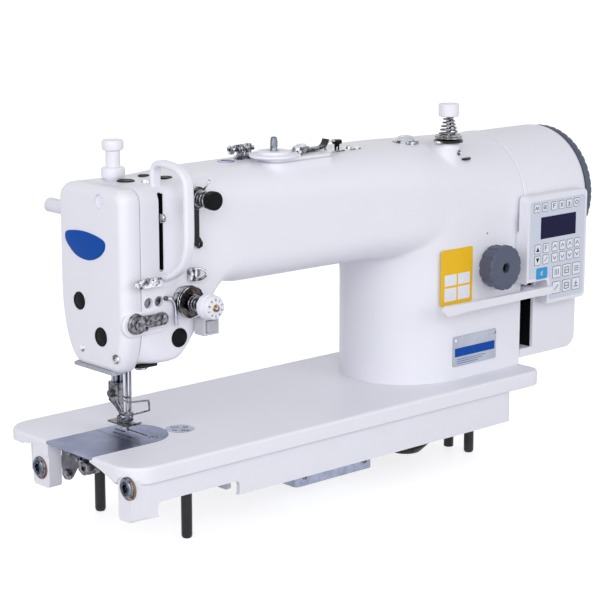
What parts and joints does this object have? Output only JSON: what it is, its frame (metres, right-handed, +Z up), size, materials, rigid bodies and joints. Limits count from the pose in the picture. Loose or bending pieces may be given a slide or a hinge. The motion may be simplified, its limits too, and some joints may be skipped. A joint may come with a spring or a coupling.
{
  "type": "lockstitch sewing machine",
  "caption": "Industrial lockstitch sewing machine head: flat bed on rest pins, C-shaped arm with needle bar and presser foot, built-in motor, handwheel and front control panel.",
  "frame": {"origin": "on the floor plane under the feet, below the middle of the whole machine", "axes": "+X along the bed from the needle end to the handwheel, +Y from the operator to the rear, +Z up"},
  "size_m": [0.5756, 0.178, 0.3285],
  "materials": {
    "bed_enamel": "hammer-free grey-white baked enamel, semi-gloss",
    "white_enamel": "glossy white baked enamel",
    "white_plastic": "satin white moulded plastic",
    "display_window": "dark clear-coated window",
    "key_film": "matt printed key film",
    "black_plastic": "satin black moulded plastic",
    "grey_plastic": "grey moulded plastic",
    "dark_plastic": "dark blue-grey moulded plastic",
    "clear_plastic": "cloudy clear moulded plastic",
    "laminated_steel": "stacked laminations, varnished",
    "magnet_steel": "coated magnets on a steel core",
    "bronze": "sintered, machined",
    "belt_rubber": "moulded, matt",
    "ground_steel": "ground",
    "polished_steel": "polished and plated",
    "black_steel": "blackened steel",
    "zinc_steel": "zinc-plated sheet",
    "plate_aluminium": "satin anodised",
    "spring_steel": "oiled spring wire",
    "bobbin_aluminium": "turned"
  },
  "bodies": {
    "frame": {"bed_casting": "bed_enamel", "arm_casting": "white_enamel", "face_cover": "white_enamel", "motor_cover": "white_plastic", "control_box": "white_plastic", "control_panel": "white_plastic", "display_window": "display_window", "keypad": "key_film", "control_board": "black_plastic", "motor_stator": "laminated_steel", "shaft_bushings": "bronze", "timing_belt": "belt_rubber", "bobbin_case_holder": "ground_steel", "bobbin_case": "polished_steel", "plugs": "black_plastic", "needle_plate": "polished_steel", "rest_pins": "black_steel", "oil_pump": "black_steel", "solenoid_box": "zinc_steel", "nameplates": "plate_aluminium", "take_up_guard": "white_enamel", "thread_guides": "polished_steel", "tension_units": "polished_steel", "cover_screws": "polished_steel", "oil_window": "clear_plastic", "lamp": "black_plastic", "winder_base": "polished_steel", "switch_box": "grey_plastic"},
    "drive": {"main_shaft": "ground_steel", "needle_crank": "ground_steel", "motor_rotor": "magnet_steel", "handwheel": "dark_plastic"},
    "hook": {"hook_shaft": "ground_steel", "rotating_hook": "ground_steel"},
    "needle_link": {"needle_bar_link": "ground_steel"},
    "needle_bar": {"needle_bar": "polished_steel", "needle": "polished_steel"},
    "take_up": {"take_up_lever": "polished_steel"},
    "presser": {"presser_bar": "polished_steel", "presser_foot": "polished_steel", "presser_spring": "spring_steel"},
    "sole": {"presser_sole": "polished_steel"},
    "lifter": {"hand_lifter": "white_plastic"},
    "regulator": {"presser_regulator": "white_plastic"},
    "feed_rock": {"feed_rock_shaft": "ground_steel"},
    "feed": {"feed_bar": "ground_steel", "feed_dog": "ground_steel"},
    "feed_lift": {"feed_lift_shaft": "ground_steel"},
    "slide_plate": {"slide_plate": "polished_steel"},
    "knee_pin": {"knee_lift_pin": "black_steel"},
    "stitch_dial": {"stitch_dial": "dark_plastic"},
    "reverse_lever": {"reverse_lever": "white_plastic"},
    "tension_knob": {"tension_knob": "white_plastic"},
    "pre_tension": {"pre_tension_nut": "black_plastic"},
    "post_cap": {"post_tension_cap": "white_plastic"},
    "winder": {"winder_spindle": "white_plastic"},
    "winder_trip": {"winder_lever": "polished_steel"},
    "touch_switch": {"touch_switch": "black_plastic"},
    "bobbin": {"bobbin": "bobbin_aluminium"}
  },
  "joints": [
    {"name": "main_shaft_turn", "type": "hinge", "parent": "frame", "child": "drive", "pos_m": [0.11425, -0.0005, 0.23], "axis": [1, 0, 0], "continuous": true},
    {"name": "hook_shaft_turn", "type": "hinge", "parent": "frame", "child": "hook", "pos_m": [0.01425, -0.0005, 0.053], "axis": [1, 0, 0], "continuous": true},
    {"name": "needle_link_swing", "type": "hinge", "parent": "drive", "child": "needle_link", "pos_m": [-0.20625, -0.0005, 0.21465], "axis": [1, 0, 0], "continuous": true},
    {"name": "needle_bar_stroke", "type": "slide", "parent": "frame", "child": "needle_bar", "axis": [0, 0, 1], "range_m": [0, 0.0307]},
    {"name": "take_up_swing", "type": "hinge", "parent": "frame", "child": "take_up", "pos_m": [-0.21125, 0.019, 0.256], "axis": [1, 0, 0], "range_deg": [-12.8, 29]},
    {"name": "presser_lift", "type": "slide", "parent": "frame", "child": "presser", "axis": [0, 0, 1], "range_m": [-0.005, 0.002], "deforming": ["presser_spring"]},
    {"name": "sole_tilt", "type": "hinge", "parent": "presser", "child": "sole", "pos_m": [-0.21975, 0.0085, 0.0915], "axis": [1, 0, 0], "range_deg": [-4, 4], "stiffness_Nm_per_rad": 0.05},
    {"name": "hand_lifter_turn", "type": "hinge", "parent": "frame", "child": "lifter", "pos_m": [-0.23325, 0.061, 0.26], "axis": [0, 1, 0], "range_deg": [0, 90]},
    {"name": "presser_regulator_turn", "type": "hinge", "parent": "frame", "child": "regulator", "pos_m": [-0.21975, 0.016, 0.3], "axis": [0, 0, 1], "range_deg": [-180, 180]},
    {"name": "feed_rock_turn", "type": "hinge", "parent": "frame", "child": "feed_rock", "pos_m": [-0.20675, 0.035, 0.056], "axis": [1, 0, 0], "range_deg": [-10, 10]},
    {"name": "feed_bar_swing", "type": "hinge", "parent": "feed_rock", "child": "feed", "pos_m": [-0.20675, 0.035, 0.044], "axis": [1, 0, 0], "range_deg": [-11, 11]},
    {"name": "feed_lift_turn", "type": "hinge", "parent": "frame", "child": "feed_lift", "pos_m": [-0.21975, -0.0765, 0.064], "axis": [1, 0, 0], "range_deg": [-8, 0]},
    {"name": "slide_plate_open", "type": "slide", "parent": "frame", "child": "slide_plate", "axis": [-1, 0, 0], "range_m": [0, 0.05]},
    {"name": "knee_pin_lift", "type": "slide", "parent": "frame", "child": "knee_pin", "axis": [0, 0, 1], "range_m": [0, 0.012]},
    {"name": "stitch_dial_turn", "type": "hinge", "parent": "frame", "child": "stitch_dial", "pos_m": [0.14625, -0.069, 0.18], "axis": [0, 1, 0], "range_deg": [-150, 150]},
    {"name": "reverse_lever_press", "type": "hinge", "parent": "frame", "child": "reverse_lever", "pos_m": [0.19725, -0.029, 0.15], "axis": [1, 0, 0], "range_deg": [0, 10], "stiffness_Nm_per_rad": 1.5, "springref_deg": -5.73},
    {"name": "tension_knob_turn", "type": "hinge", "parent": "frame", "child": "tension_knob", "pos_m": [-0.19675, -0.077, 0.1945], "axis": [0, 1, 0], "range_deg": [-180, 180]},
    {"name": "pre_tension_turn", "type": "hinge", "parent": "frame", "child": "pre_tension", "pos_m": [-0.18675, -0.069, 0.277], "axis": [0, 1, 0], "range_deg": [-180, 180]},
    {"name": "post_cap_turn", "type": "hinge", "parent": "frame", "child": "post_cap", "pos_m": [0.10925, -0.041, 0.32], "axis": [0, 0, 1], "range_deg": [-180, 180]},
    {"name": "winder_turn", "type": "hinge", "parent": "frame", "child": "winder", "pos_m": [-0.08575, -0.027, 0.3], "axis": [0, 0, 1], "continuous": true},
    {"name": "winder_trip_swing", "type": "hinge", "parent": "frame", "child": "winder_trip", "pos_m": [-0.04975, -0.021, 0.3], "axis": [0, 0, 1], "range_deg": [0, 15]},
    {"name": "touch_switch_press", "type": "slide", "parent": "frame", "child": "touch_switch", "axis": [0, 1, 0], "range_m": [0, 0.0012], "stiffness_N_per_m": 500, "springref_m": -0.001},
    {"name": "bobbin_turn", "type": "hinge", "parent": "frame", "child": "bobbin", "pos_m": [-0.22975, -0.0005, 0.053], "axis": [1, 0, 0], "continuous": true}
  ],
  "couplings": [
    {"joint": "hook_shaft_turn", "follows": "main_shaft_turn", "ratio": 2},
    {"joint": "needle_link_swing", "follows": "main_shaft_turn", "ratio": -1},
    {"joint": "feed_bar_swing", "follows": "feed_rock_turn", "ratio": -1}
  ]
}
